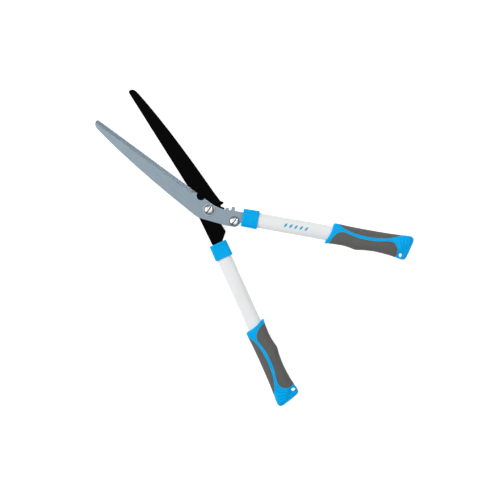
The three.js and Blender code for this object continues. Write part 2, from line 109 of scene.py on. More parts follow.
def make_camera():
    data = bpy.data.cameras.new("camera")
    data.sensor_width = 36
    data.lens = 36 * CAMERA_HEIGHT_M / VIEW_WIDTH_M
    data.clip_end = 20
    camera = bpy.data.objects.new("camera", data)
    across, along = VIEW_CENTRE
    camera.location = PIVOT_M + Vector((across * MM, along * MM, CAMERA_HEIGHT_M))
    camera.rotation_euler = (0, 0, CAMERA_ROLL)
    bpy.context.scene.collection.objects.link(camera)
    bpy.context.scene.camera = camera


make_camera()

# ---- Places ----


def half_place(is_front):
    turn = OPEN_ANGLE / 2 if is_front else -OPEN_ANGLE / 2
    place = Matrix.Translation(PIVOT_M) @ Matrix.Rotation(turn, 4, "Z")
    return place if is_front else place @ Matrix.Rotation(math.pi, 4, "Y")


def handle_point(side, u, v):
    """A point of the handle frame, in that half's frame."""
    out = v - side["pivot_v"]
    s, c = math.sin(side["bend"]), math.cos(side["bend"])
    return (u * s + out * c, -u * c + out * s)


def handle_place(side, is_front, shift=0):
    x, y = handle_point(side, 0, 0)
    turn = Matrix.Rotation(side["bend"] - math.pi / 2, 4, "Z")
    foot = Matrix.Translation(Vector((x, y, 0)) * MM)
    return half_place(is_front) @ foot @ turn @ Matrix.Translation((shift * MM, 0, 0))


# ---- Nodes for the materials ----


class Graph:
    """A material's node tree, with short ways to add and join nodes."""

    def __init__(self, name):
        self.material = bpy.data.materials.new(name)
        self.material.use_nodes = True
        self.tree = self.material.node_tree
        self.shader = self.tree.nodes["Principled BSDF"]
        self.place = self.add("ShaderNodeTexCoord").outputs["Object"]

    def add(self, kind, inputs=None, **settings):
        node = self.tree.nodes.new(kind)
        for key, value in settings.items():
            setattr(node, key, value)
        for key, value in (inputs or {}).items():
            self.set(node.inputs[key], value)
        return node

    def set(self, socket, value):
        if isinstance(value, bpy.types.NodeSocket):
            self.tree.links.new(value, socket)
        else:
            socket.default_value = value

    def base(self, color, roughness, metallic=0.0, specular=0.5):
        """Uniform values of the shader."""
        self.shader.inputs["Base Color"].default_value = (*color, 1)
        self.shader.inputs["Roughness"].default_value = roughness
        self.shader.inputs["Metallic"].default_value = metallic
        self.shader.inputs["Specular IOR Level"].default_value = specular

    def noise(self, scale, stretch=(1, 1, 1), detail=3):
        """Noise with scale features per metre, each axis stretched by its share."""
        size = tuple(scale / s for s in stretch)
        mapping = self.add("ShaderNodeMapping", {"Vector": self.place, "Scale": size})
        inputs = {"Vector": mapping.outputs[0], "Scale": 1.0, "Detail": detail, "Roughness": 0.5}
        return self.add("ShaderNodeTexNoise", inputs).outputs["Fac"]

    def cells(self, scale):
        """The distance to the nearest crease between cells, with scale cells per metre."""
        inputs = {"Vector": self.place, "Scale": scale}
        node = self.add("ShaderNodeTexVoronoi", inputs, feature="DISTANCE_TO_EDGE")
        return node.outputs["Distance"]

    def ramp(self, value, low, high, out_low=0.0, out_high=1.0):
        """Maps low to high onto out_low to out_high, and holds the ends beyond."""
        inputs = {"Value": value, 1: low, 2: high, 3: out_low, 4: out_high}
        return self.add("ShaderNodeMapRange", inputs).outputs["Result"]

    def product(self, a, b):
        return self.add("ShaderNodeMath", {0: a, 1: b}, operation="MULTIPLY").outputs[0]

    def mix(self, factor, a, b):
        """Colour a where factor is 0 and b where it is 1."""
        node = self.add("ShaderNodeMix", data_type="RGBA")
        self.set(node.inputs["Factor"], factor)
        for key, value in ((6, a), (7, b)):
            self.set(node.inputs[key], (*value, 1) if isinstance(value, tuple) else value)
        return node.outputs[2]

    def color(self, value):
        self.set(self.shader.inputs["Base Color"], value)

    def tints(self, amount, color, first, last, low=0.3, high=0.7):
        """The colour goes from its first tint to its last as amount goes from low to high."""
        self.color(self.mix(self.ramp(amount, low, high), tinted(color, first), tinted(color, last)))

    def roughness(self, *ramp):
        self.set(self.shader.inputs["Roughness"], self.ramp(*ramp))

    def bump(self, height, distance_mm, strength):
        inputs = {"Height": height, "Distance": distance_mm * MM, "Strength": strength}
        normal = self.add("ShaderNodeBump", inputs).outputs["Normal"]
        self.set(self.shader.inputs["Normal"], normal)


def tinted(color, factor):
    return tuple(channel * factor for channel in color)


# ---- Materials ----

STEEL = (0.242, 0.306, 0.358)
BLUE = (0.0, 0.41, 0.86)
SOFT_GREY = (0.137, 0.136, 0.132)


def ground_steel():
    """Satin steel: long grinding streaks down the blade, faint clouding, a few scratches."""
    g = Graph("ground_steel")
    g.base(STEEL, 0.42, metallic=0.75, specular=0.4)
    streaks = g.noise(1600, stretch=(1, 45, 1), detail=4)
    clouds = g.noise(35, detail=4)
    scratch = g.ramp(g.noise(700, stretch=(1, 90, 1), detail=1), 0.68, 0.74)
    streaky = g.mix(g.ramp(streaks, 0.3, 0.7), tinted(STEEL, 0.86), tinted(STEEL, 1.1))
    cloudy = g.mix(g.ramp(clouds, 0.35, 0.7), streaky, tinted(STEEL, 1.04))
    g.color(g.mix(scratch, cloudy, tinted(STEEL, 1.3)))
    g.roughness(streaks, 0.25, 0.75, 0.34, 0.5)
    g.bump(streaks, 0.02, 0.5)
    return g.material


def ground_edge():
    """The bevel, ground across the blade, and a little darker as painted shade on its slant."""
    g = Graph("ground_edge")
    # painted shade: the slanted bevel is tinted darker than the flat
    dark = tinted(STEEL, 0.92)
    g.base(dark, 0.5, metallic=0.75, specular=0.4)
    streaks = g.noise(2200, stretch=(40, 1, 40), detail=4)
    g.tints(streaks, dark, 0.9, 1.12)
    g.roughness(streaks, 0.25, 0.75, 0.44, 0.56)
    g.bump(streaks, 0.02, 0.5)
    return g.material


def black_coating():
    """Baked non-stick coating: a fine even peel, and slightly uneven gloss."""
    g = Graph("black_coating")
    g.base((0.001, 0.001, 0.0012), 0.5, specular=0.02)
    peel = g.noise(1400, detail=2)
    patches = g.noise(45)
    g.color(g.mix(g.ramp(patches, 0.3, 0.75), (0.0008, 0.0008, 0.0009), (0.002, 0.002, 0.0022)))
    g.roughness(patches, 0.3, 0.7, 0.44, 0.58)
    g.bump(peel, 0.03, 0.6)
    return g.material


def white_enamel():
    """Powder coat: white, with a faint orange peel."""
    g = Graph("white_enamel")
    g.base((0.83, 0.84, 0.84), 0.32)
    peel = g.noise(520, detail=2)
    patches = g.noise(30)
    g.color(g.mix(g.ramp(patches, 0.3, 0.7), (0.81, 0.82, 0.825), (0.85, 0.86, 0.86)))
    g.roughness(patches, 0.3, 0.7, 0.28, 0.38)
    g.bump(peel, 0.04, 0.35)
    return g.material


def moulded_blue():
    """Moulded plastic with a fine spark-eroded grain."""
    g = Graph("moulded_blue")
    g.base(BLUE, 0.44, specular=0.06)
    grain = g.noise(2600, detail=2)
    patches = g.noise(60)
    g.tints(patches, BLUE, 0.93, 1.06)
    g.roughness(grain, 0.3, 0.7, 0.36, 0.5)
    g.bump(grain, 0.05, 0.5)
    return g.material


def soft_moulding():
    """Soft-touch rubber with a fine leathery cell pattern, its creases darkened as painted shade."""
    g = Graph("soft_moulding")
    g.base(SOFT_GREY, 0.82, specular=0.25)
    cells = g.cells(1100)
    crease = g.ramp(cells, 0.0, 0.22)
    dust = g.noise(120, detail=4)
    grey = g.mix(g.ramp(dust, 0.3, 0.7), tinted(SOFT_GREY, 0.9), tinted(SOFT_GREY, 1.12))
    # painted shade: the colour darkens into the creases between the cells
    g.color(g.mix(crease, tinted(SOFT_GREY, 0.72), grey))
    g.roughness(dust, 0.3, 0.7, 0.76, 0.9)
    g.bump(crease, 0.09, 0.7)
    return g.material


def bright_zinc():
    """Polished plating with hair scratches in every direction."""
    g = Graph("bright_zinc")
    bright = (0.75, 0.76, 0.77)
    g.base(bright, 0.2, metallic=1.0)
    hair = g.noise(1500, stretch=(1, 12, 1), detail=2)
    other = g.noise(1500, stretch=(12, 1, 1), detail=2)
    both = g.product(hair, other)
    clouds = g.noise(140, detail=4)
    g.tints(clouds, bright, 0.92, 1, 0.35)
    g.roughness(both, 0.12, 0.4, 0.14, 0.3)
    g.bump(both, 0.02, 0.5)
    return g.material


def plain_plating():
    """Duller plating, for washers and nuts."""
    g = Graph("plain_plating")
    grey = (0.34, 0.40, 0.46)
    g.base(grey, 0.4, metallic=0.8)
    clouds = g.noise(220, detail=4)
    fine = g.noise(1800, detail=2)
    g.tints(clouds, grey, 0.84, 1.12)
    g.roughness(clouds, 0.3, 0.7, 0.3, 0.5)
    g.bump(fine, 0.02, 0.4)
    return g.material


def painted_head_shade():
    """The turned rim of a screw's head and the floor of its slot, darkened as painted shade and left
    rough.
    """
    g = Graph("painted_head_shade")
    grey = (0.036, 0.041, 0.045)
    g.base(grey, 0.55, metallic=0.6)
    # the painted shade's darkness varies in spots
    shade_mottle = g.noise(600, detail=4)
    g.tints(shade_mottle, grey, 0.6, 1.5)
    g.bump(shade_mottle, 0.04, 0.6)
    return g.material


def plain_moulding(name, color, roughness):
    """A plain moulded plastic or rubber, with its own fine grain."""
    g = Graph(name)
    g.base(color, roughness, specular=0.3)
    grain = g.noise(1500)
    g.tints(grain, color, 0.85, 1.12)
    g.bump(grain, 0.05, 0.5)
    return g.material


def print_ink():
    """The printed mark on the tube, slightly uneven."""
    g = Graph("print_ink")
    ink = (0.01, 0.36, 0.62)
    g.base(ink, 0.35)
    worn = g.noise(900)
    g.tints(worn, ink, 0.85, 1.15, 0.25, 0.75)
    g.bump(worn, 0.01, 0.3)
    return g.material


MATERIALS = {
    "steel": ground_steel(),
    "edge": ground_edge(),
    "black": black_coating(),
    "white": white_enamel(),
    "blue": moulded_blue(),
    "soft": soft_moulding(),
    "zinc": bright_zinc(),
    "plating": plain_plating(),
    # painted shade for the screw heads' rims and slots
    "head_shade": painted_head_shade(),
    "buffer": plain_moulding("buffer_rubber", (0.012, 0.012, 0.012), 0.75),
    "nylon": plain_moulding("nylon", (0.62, 0.6, 0.54), 0.5),
    "plug": plain_moulding("plug_plastic", (0.02, 0.02, 0.022), 0.6),
    "ink": print_ink(),
}

# ---- Meshes ----


def shade(mesh, sharp_above):
    """Smooth, with a crease wherever two faces meet at more than sharp_above degrees."""
    mesh.shade_smooth()
    mesh.set_sharp_from_angle(angle=math.radians(sharp_above))


def add_object(name, mesh, place, material):
    mesh.materials.append(MATERIALS[material])
    piece = bpy.data.objects.new(name, mesh)
    piece.matrix_world = place
    bpy.context.scene.collection.objects.link(piece)
    return piece


def new_piece(name, points, faces, place, material, sharp_above=35):
    mesh = bpy.data.meshes.new(name)
    mesh.from_pydata((np.asarray(points, float) * MM).tolist(), [], faces)
    mesh.validate()
    shade(mesh, sharp_above)
    return add_object(name, mesh, place, material)


def combine(piece, tool, operation="DIFFERENCE", sharp_above=35):
    """Cuts the tool out of piece, keeps what they share, or joins them. The tool is used up."""
    modifier = piece.modifiers.new("combine", "BOOLEAN")
    modifier.operation = operation
    modifier.object = tool
    modifier.solver = "EXACT"
    bpy.context.view_layer.update()
    depsgraph = bpy.context.evaluated_depsgraph_get()
    mesh = bpy.data.meshes.new_from_object(piece.evaluated_get(depsgraph))
    piece.modifiers.clear()
    old = piece.data
    piece.data = mesh
    mesh.name = piece.name
    bpy.data.meshes.remove(old)
    bpy.data.objects.remove(tool)
    shade(piece.data, sharp_above)
    while len(piece.data.materials) > 1:
        piece.data.materials.pop(index=-1)


def loft(rings):
    """Rings of equal counts, counterclockwise about the way they run, joined and capped by fans."""
    rings = np.asarray(rings, float)
    levels, count = rings.shape[:2]
    points = list(rings.reshape(-1, 3))
    faces = []
    for r in range(levels - 1):
        for i in range(count):
            a = r * count + i
            b = r * count + (i + 1) % count
            faces.append((a, b, b + count, a + count))
    for ring, backwards in ((0, True), (levels - 1, False)):
        middle = len(points)
        points.append(rings[ring].mean(axis=0))
        for i in range(count):
            edge = [ring * count + i, ring * count + (i + 1) % count]
            if backwards:
                edge.reverse()
            faces.append((middle, *edge))
    return np.array(points), faces


def grid_faces(rows, columns, first=0):
    """The quads of a grid of points. The grid's first point has the index first."""
    faces = []
    for r in range(rows - 1):
        for i in range(columns - 1):
            a = first + r * columns + i
            faces.append((a, a + columns, a + columns + 1, a + 1))
    return faces


def lathe(profile, sides=96):
    """Turns a profile of (r, z) points about z. It starts and ends on the axis, or is a closed loop."""
    points = []
    rows = []
    for r, z in profile:
        if r < 1e-6:
            rows.append([len(points)] * sides)
            points.append((0, 0, z))
            continue
        rows.append(list(range(len(points), len(points) + sides)))
        for i in range(sides):
            angle = 2 * math.pi * i / sides
            points.append((r * math.cos(angle), r * math.sin(angle), z))
    faces = []
    closed = rows if profile[0][0] < 1e-6 else rows + [rows[0]]
    for low, high in zip(closed, closed[1:]):
        for i in range(sides):
            j = (i + 1) % sides
            corners = tuple(dict.fromkeys((low[i], low[j], high[j], high[i])))
            if len(corners) > 2:
                faces.append(corners)
    return np.array(points), faces


def box_mesh(low, high):
    x0, y0, z0 = low
    x1, y1, z1 = high
    points = [(x, y, z) for z in (z0, z1) for y in (y0, y1) for x in (x0, x1)]
    faces = [(0, 2, 3, 1), (4, 5, 7, 6), (0, 1, 5, 4), (2, 6, 7, 3), (0, 4, 6, 2), (1, 3, 7, 5)]
    return np.array(points, float), faces


def ring_profile(inner, outer, bottom, top, edge):
    """A ring's section, with its four corners rounded by edge."""
    steps = 4
    corners = [
        (outer - edge, bottom + edge, -90),
        (outer - edge, top - edge, 0),
        (inner + edge, top - edge, 90),
        (inner + edge, bottom + edge, 180),
    ]
    profile = []
    for r, z, start in corners:
        for k in range(steps + 1):
            angle = math.radians(start + 90 * k / steps)
            profile.append((r + edge * math.cos(angle), z + edge * math.sin(angle)))
    return profile


def superellipse(angle, power):
    """Points of a superellipse that spans -1 to 1 both ways."""
    c, s = np.cos(angle), np.sin(angle)
    return np.sign(c) * np.abs(c) ** (2 / power), np.sign(s) * np.abs(s) ** (2 / power)


def even_angles(shape, count):
    """Angles that space points evenly round a superellipse."""
    fine = np.linspace(0, 2 * np.pi, 4001)
    t, s = superellipse(fine, shape["power"])
    steps = np.hypot(np.diff(t * shape["width"]), np.diff(s * shape["height"]))
    length = np.concatenate([[0], np.cumsum(steps)])
    return np.interp(np.arange(count) / count * length[-1], length, fine)


# ---- Flat outlines, for the blades ----


def cubic_points(start, first, second, target, steps):
    """The points of a cubic curve from start to target, without start itself."""
    start, first, second, target = map(np.array, (start, first, second, target))
    points = []
    for k in range(1, steps + 1):
        t = k / steps
        near = (1 - t) ** 3 * start + 3 * t * (1 - t) ** 2 * first
        points.append(tuple(near + 3 * t**2 * (1 - t) * second + t**3 * target))
    return points


def catmull_rom(points, samples):
    """Points evenly spread in parameter along a smooth curve through the given ones."""
    points = np.asarray(points, float)
    last = len(points) - 1
    where = np.linspace(0, last, samples)
    index = np.minimum(where.astype(int), last - 1)
    t = (where - index)[:, None]
    p0 = points[np.maximum(index - 1, 0)]
    p1 = points[index]
    p2 = points[index + 1]
    p3 = points[np.minimum(index + 2, last)]
    v0, v1 = (p2 - p0) / 2, (p3 - p1) / 2
    cubic = (2 * p1 - 2 * p2 + v0 + v1) * t**3
    square = (-3 * p1 + 3 * p2 - 2 * v0 - v1) * t**2
    return cubic + square + v0 * t + p1


class Outline:
    """A closed flat outline, drawn in the half frame or through the handle frame."""

    def __init__(self, side):
        self.side = side
        self.points = []

    def handle(self, u, v):
        return handle_point(self.side, u, v)

    def line(self, *target):
        self.points.append(target)

    def curve(self, control, target, steps=8):
        start = np.array(self.points[-1])
        control, target = np.array(control), np.array(target)
        for k in range(1, steps + 1):
            t = k / steps
            point = (1 - t) ** 2 * start + 2 * t * (1 - t) * control + t**2 * target
            self.points.append(tuple(point))

    def cubic(self, first, second, target, steps=16):
        self.points += cubic_points(self.points[-1], first, second, target, steps)

    def arc(self, centre, radius, start, end, steps=24):
        for k in range(steps + 1):
            angle = start + (end - start) * k / steps
            x = centre[0] + radius * math.cos(angle)
            self.points.append((x, centre[1] + radius * math.sin(angle)))

    def spline(self, targets):
        self.points += [tuple(p) for p in catmull_rom([self.points[-1], *targets], 90)[1:]]

    def tooth(self, u, half_width, foot, top):
        """A round-topped finger on the tang's side, from v = foot to v = top."""
        at = self.handle
        self.line(*at(u + half_width + 1.4, foot))
        self.curve(at(u + half_width, foot + 0.6), at(u + half_width, foot + 1.8))
        self.line(*at(u + half_width, top - half_width))
        self.curve(at(u + half_width, top), at(u, top))
        self.curve(at(u - half_width, top), at(u - half_width, top - half_width))
        self.line(*at(u - half_width, foot + 0.8))
        self.curve(at(u - half_width, foot), at(u - half_width - 0.9, foot))

    def cutting_length(self, spine_foot):
        """Up the cutting edge, round the tip and down the spine."""
        edge = self.side["edge"]
        back = edge - self.side["wider"]
        tip, tip_round = BLADE_LENGTH, 3.2
        self.line(edge, tip - tip_round)
        self.arc((edge - tip_round, tip - tip_round), tip_round, 0, math.pi / 2, 10)
        self.cubic((edge - 8.5, tip), (back - 10.8, tip - 3.8), (back - 12.1, tip - 10.2))
        self.spline([
            (back - 16.9, 188),
            (back - 22.9, 134.6),
            (back - 27.4, 76),
            (back - 30.4, spine_foot),
        ])

    def finished(self):
        """The points, counterclockwise, without doubles."""
        points = [self.points[0]]
        for point in self.points[1:]:
            if math.dist(point, points[-1]) > 0.01:
                points.append(point)
        return oriented(np.array(points), True)


def oriented(points, counterclockwise):
    x, y = points[:, 0], points[:, 1]
    area = np.sum(x * np.roll(y, -1) - y * np.roll(x, -1))
    return points if (area > 0) == counterclockwise else points[::-1].copy()


def front_outline():
    """Tang with its two fingers, notch, blade, heel and the lug round the buffer's screw."""
    shape = Outline(FRONT)
    at = shape.handle
    half = TANG_WIDTH / 2
    edge = FRONT["edge"]
    notch_y, notch_radius = 23.6, 7.1
    shape.line(*at(TANG_END, half))
    shape.line(*at(54, half))
    shape.tooth(37.6, 2.7, 8.1, 14.3)
    shape.tooth(28.3, 2.7, 7.2, 10.8)
    shape.curve((edge - 0.6, -6), (edge, 8), 24)
    shape.line(edge, notch_y - notch_radius)
    shape.arc((edge, notch_y), notch_radius, -math.pi / 2, -1.5 * math.pi, 32)
    shape.cutting_length(14)
    shape.curve((edge - 31, 8), (edge - 29.5, 2.8), 12)
    shape.line(*at(23, -16.8))
    shape.line(*at(31, -17.4))
    turn = FRONT["bend"] - math.pi / 2
    shape.arc(at(BUMPER["u"], BUMPER["v"]), BUMPER["lug"], turn - math.pi / 2, turn - 0.45)
    shape.line(*at(54.5, -half))
    shape.line(*at(TANG_END, -half))
    return shape.finished()


def rear_outline():
    """Tang, shoulder, blade, the two hooks beside the pivot, and the ear."""
    shape = Outline(REAR)
    at = shape.handle
    half = TANG_WIDTH / 2
    edge = REAR["edge"]
    shape.line(*at(TANG_END, half))
    shape.line(*at(55, half))
    shape.line(*at(52.5, 9.2))
    shape.line(*at(4.4, 10.6))
    shape.cubic((18.6, 9), (edge, 8), (edge, 18), 24)
    shape.cutting_length(20)
    shape.line(edge - 31.9, 2.4)
    shape.curve((-25.2, -0.4), (-26, -1.9))
    shape.curve((-25.4, -3.8), (-23, -3.6))
    shape.line(-20.4, -3.7)
    shape.curve((-18.4, -4.4), (-19.2, -6.2))
    shape.line(-21.8, -9.2)
    shape.curve((-22.8, -11), (-21, -12))
    shape.curve((-10, -15), at(28.9, -17.8), 16)
    shape.line(*at(40.6, -19.4))
    shape.curve(at(42.6, -19.7), at(44, -18.2))
    shape.line(*at(54.7, -half))
    shape.line(*at(TANG_END, -half))
    return shape.finished()


def circle(centre, radius, count=48):
    angles = 2 * np.pi * np.arange(count) / count
    return np.stack([centre[0] + radius * np.cos(angles), centre[1] + radius * np.sin(angles)], 1)


def inset_loop(points, distance):
    """The loop moved to its left by distance, with mitred corners."""
    before = points - np.roll(points, 1, axis=0)
    after = np.roll(points, -1, axis=0) - points
    normal_a = np.stack([-before[:, 1], before[:, 0]], 1) / np.linalg.norm(before, axis=1)[:, None]
    normal_b = np.stack([-after[:, 1], after[:, 0]], 1) / np.linalg.norm(after, axis=1)[:, None]
    total = normal_a + normal_b
    scale = 2 / np.maximum(np.sum(total**2, axis=1), 0.8)
    return points + total * scale[:, None] * distance


def plate(name, outer, holes, place, material):
    """A flat plate from BLADE_BOTTOM to BLADE_TOP, with every corner slightly rounded."""
    edge, steps = 0.28, 3
    bm = bmesh.new()
    turns = [math.pi / 2 * k / steps for k in range(steps + 1)]
    levels = []
    for turn in turns:
        levels.append((edge * (1 - math.sin(turn)), BLADE_BOTTOM + edge * (1 - math.cos(turn))))
    for turn in reversed(turns):
        levels.append((edge * (1 - math.sin(turn)), BLADE_TOP - edge * (1 - math.cos(turn))))
    caps = ([], [])
    for loop in [outer, *[oriented(hole, False) for hole in holes]]:
        rows = []
        for inwards, z in levels:
            row = [bm.verts.new((x * MM, y * MM, z * MM)) for x, y in inset_loop(loop, inwards)]
            rows.append(row)
        count = len(loop)
        for low, high in zip(rows, rows[1:]):
            for i in range(count):
                j = (i + 1) % count
                bm.faces.new((low[i], low[j], high[j], high[i]))
        for row, edges in ((rows[0], caps[0]), (rows[-1], caps[1])):
            for i in range(count):
                edges.append(bm.edges.get((row[i], row[(i + 1) % count])))
    for edges in caps:
        bmesh.ops.triangle_fill(bm, use_beauty=True, edges=edges)
    bmesh.ops.recalc_face_normals(bm, faces=bm.faces)
    mesh = bpy.data.meshes.new(name)
    bm.to_mesh(mesh)
    bm.free()
    return add_object(name, mesh, place, material)


def ground_wedge(side, place):
    """The wedge that the bevel leaves missing. Near the heel it rises out of the plate."""
    over, run_out, rise = 1, 9, 2.6
    slope = (BLADE_TOP - BLADE_BOTTOM - EDGE_THICKNESS) / BEVEL_WIDTH
    edge, heel = side["edge"], side["heel"]
    section = [
        (edge - BEVEL_WIDTH - over, BLADE_TOP + over * slope),
        (edge + over, BLADE_TOP - (BEVEL_WIDTH + over) * slope),
        (edge + over, BLADE_TOP + over),
    ]
    rings = []
    for y, lift in ((BLADE_LENGTH + over, 0), (heel + run_out, 0), (heel, rise)):
        rings.append([(x, y, z + lift) for x, z in section])
    return new_piece("wedge", *loft(rings), place, "edge")


def make_blade(name, side, outline, holes, is_front, material, edge_material):
    """A plate with its bevel ground. The bevel's slanting faces get the edge's material."""
    place = half_place(is_front)
    piece = plate(name, outline, holes, place, material)
    combine(piece, ground_wedge(side, place))
    piece.data.materials.append(MATERIALS[edge_material])
    bevel_from = (side["edge"] - BEVEL_WIDTH - 0.2) * MM
    for polygon in piece.data.polygons:
        polygon.use_smooth = abs(polygon.normal.z) < 0.9  # the flats and the bevel are shaded flat
        slanting = 0.9 < polygon.normal.z < 0.98 and polygon.area > 2e-7
        if slanting and polygon.center.x > bevel_from:
            polygon.material_index = 1
    return piece


def make_blades():
    pin_u, pin_radius = TANG_PIN["u"], TANG_PIN["radius"]
    front_holes = [
        circle((0, 0), PIVOT["bush_hole"]),
        circle(handle_point(FRONT, BUMPER["u"], BUMPER["v"]), BUMPER["hole"]),
        circle(handle_point(FRONT, pin_u, 0), pin_radius, 24),
    ]
    front = make_blade("ground_blade", FRONT, front_outline(), front_holes, True, "steel", "edge")
    settle(front, "front_half", "ground_steel", "front_blade")
    rear_holes = [
        circle((0, 0), PIVOT["hole"]),
        circle(handle_point(REAR, pin_u, 0), pin_radius, 24),
    ]
    rear = make_blade("coated_blade", REAR, rear_outline(), rear_holes, False, "black", "black")
    settle(rear, "rear_half", "black_coating", "rear_blade")


def settle(piece, body, slot, *nodes):
    """The piece rides on its body and stands for those CAD nodes. slot is not used."""
    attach(piece, body)
    if nodes:
        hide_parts(*nodes)


# ---- Tube and collar ----


def section_ring(u, shape, angles, more=0):
    """A superellipse across the handle at u, more millimetres wider and higher than its shape says."""
    t, s = superellipse(angles, shape["power"])
    width, height = shape["width"] + more, shape["height"] + more
    return np.stack([np.full_like(t, u), t * width / 2, s * height / 2], 1)


def make_tube(prefix, place, body):
    """The oval tube. Both its ends are hidden, so it is drawn without its bore."""
    angles = even_angles(TUBE, 128)
    rings = []
    for u in np.linspace(TUBE["start"], TUBE["end"], 60):
        rings.append(section_ring(u, TUBE, angles))
    piece = new_piece(f"{prefix}_oval_tube", *loft(rings), place, "white")
    settle(piece, body, "white_tube", f"{prefix}_tube")


def smooth_step(value, low, high):
    x = np.clip((value - low) / (high - low), 0, 1)
    return x * x * (3 - 2 * x)


def collar_ring(u, drawn_in, angles):
    """A section of the collar, with its panels where u is between their ends."""
    start, end = COLLAR["start"], COLLAR["end"]
    width = np.interp(u, (start, end), (COLLAR["width"], COLLAR["end_width"]))
    ring = section_ring(u, {**COLLAR, "width": width}, angles, -2 * drawn_in)
    v, z = ring[:, 1], ring[:, 2]
    across = smooth_step(PANEL["half_width"] - np.abs(v), 0, PANEL["edge"])
    from_end = min(u - start, end - u)
    along = smooth_step(from_end, PANEL["margin"], PANEL["margin"] + PANEL["edge"])
    ring[:, 2] = z - np.sign(z) * PANEL["depth"] * across * along * (np.abs(z) > FACE_Z)
    return ring


def make_collar(prefix, place, body):
    """A rounded sleeve with a shallow panel let into each face."""
    start, end = COLLAR["start"], COLLAR["end"]
    angles = even_angles(COLLAR, 160)
    front_round, back_round, bore_lip, bore_depth = 1.0, 0.8, 0.5, 12
    rings = []
    for k in range(7):
        turn = math.pi / 2 * k / 6
        u = start + front_round * (1 - math.cos(turn))
        rings.append(collar_ring(u, front_round * (1 - math.sin(turn)), angles))
    for u in np.linspace(start + front_round, end - back_round, 64)[1:-1]:
        rings.append(collar_ring(u, 0, angles))
    for k in range(6):
        turn = math.pi / 2 * k / 5
        u = end - back_round * (1 - math.sin(turn))
        rings.append(collar_ring(u, back_round * (1 - math.cos(turn)), angles))
    for u in (end, end - bore_lip, end - bore_depth):
        rings.append(section_ring(u, TUBE, angles, BORE_GAP))
    piece = new_piece(f"{prefix}_tube_collar", *loft(rings), place, "blue")
    combine(piece, tang_slot_tool(place))
    settle(piece, body, "blue_plastic", f"{prefix}_collar")


def tang_slot_tool(place):
    """Room for the flat tang in the collar's front end."""
    gap, over, depth = 0.3, 1, 3
    start, half = COLLAR["start"], TANG_WIDTH / 2 + gap
    low = (start - over, -half, BLADE_BOTTOM - gap)
    high = (start + depth, half, BLADE_TOP + gap)
    return new_piece("slot_tool", *box_mesh(low, high), place, "blue")


# ---- Grips ----

# Points of smooth curves: the grip's edges as (u, v), its half thickness as (u, z), and the pads' rims.
OUTER_EDGE = [
    (190, 16.9), (206, 17.9), (216, 16.9), (240, 16.2), (275, 16.3), (303, 17.1), (320, 18.7),
    (345, 19),
]
INNER_EDGE = [
    (185, -18.2), (194, -17.4), (204, -15.7), (222, -15.2), (235, -16.7), (244, -18.2),
    (256, -16.5), (272, -15.5), (288, -16.1), (303, -17.7), (315, -20.4), (330, -21.3),
]
HALF_THICKNESS = [(190, 12.4), (205, 12.3), (240, 13.9), (282, 13.9), (305, 12.9), (340, 13)]
PALM_PAD = [
    (206, 21), (211, 16.4), (220, 11.2), (232, 7.4), (246, 5.3), (262, 4.7), (278, 5.9), (290, 8.4),
    (300, 11.7), (307, 15.1), (314, 21),
]
FINGER_PAD = [
    (197, -24), (200.5, -14.5), (204, -5.5), (208.5, 1), (214, 4.8), (221, 5.9), (232, 3.4),
    (246, 1.1), (262, 0.7), (276, 1.7), (290, 4.1), (299, 4.4), (305, 1.2), (308.8, -4.5),
    (309.9, -11), (307.9, -18.5), (305.5, -24),
]


def height_along(points):
    table = catmull_rom(points, 600)
    return lambda u: np.interp(u, table[:, 0], table[:, 1])


outer_edge = height_along(OUTER_EDGE)
inner_edge = height_along(INNER_EDGE)
half_thickness = height_along(HALF_THICKNESS)


def flange_u(t):
    """Where the grip starts, across its width: t is -1 at the inner edge and 1 at the outer."""
    return GRIP["flange"] + GRIP["lean"] * t + GRIP["bow"] * (1 - t * t)


def end_u(t):
    return GRIP["end"] + GRIP["lean"] * t


def along_u(s, t):
    return flange_u(t) + (end_u(t) - flange_u(t)) * s


def middle_and_half(s):
    """The grip's middle and half width, as values of v."""
    top, bottom = outer_edge(along_u(s, 1)), inner_edge(along_u(s, -1))
    return (top + bottom) / 2, (top - bottom) / 2


def skin(s, angle, inset=0.0):
    """Points of the grip's skin. s is 0 at the flange and 1 at the end."""
    t, up = superellipse(angle, GRIP["power"])
    middle, whole = middle_and_half(s)
    half = whole - inset
    z = (half_thickness(along_u(s, 0)) - inset) * up
    u = along_u(s, t * half / (half + inset))
    return np.stack([u, middle + half * t, level(z)], -1)


def level(z):
    """Eases the skin off to a flat at the resting depth."""
    start, ease = REST_DEPTH - 1.2, 1.15
    over = np.maximum(np.abs(z) - start, 0)
    eased = start + ease * (1 - np.exp(-over / ease))
    return np.where(np.abs(z) > start, np.sign(z) * eased, z)


def skin_place(u, v):
    """The s and angle, on the upper face, of a point seen from above."""
    t = np.zeros_like(u)
    for _ in range(30):
        s = (u - flange_u(t)) / (end_u(t) - flange_u(t))
        middle, half = middle_and_half(s)
        t = np.clip((v - middle) / half, -1, 1)
    c = np.sign(t) * np.abs(t) ** (GRIP["power"] / 2)
    return s, np.arccos(c)


# The grooves meet at u, v, and run from near to far, at angles from first to last, in degrees.
FAN = {"u": 322, "v": -13.7, "near": 3.5, "far": 27, "first": -24.5, "last": 15}
GROOVES = {"count": 4, "depth": 1.2, "half_width": 1.5, "from_u": 306, "from_end": 1.8, "fade": 3}


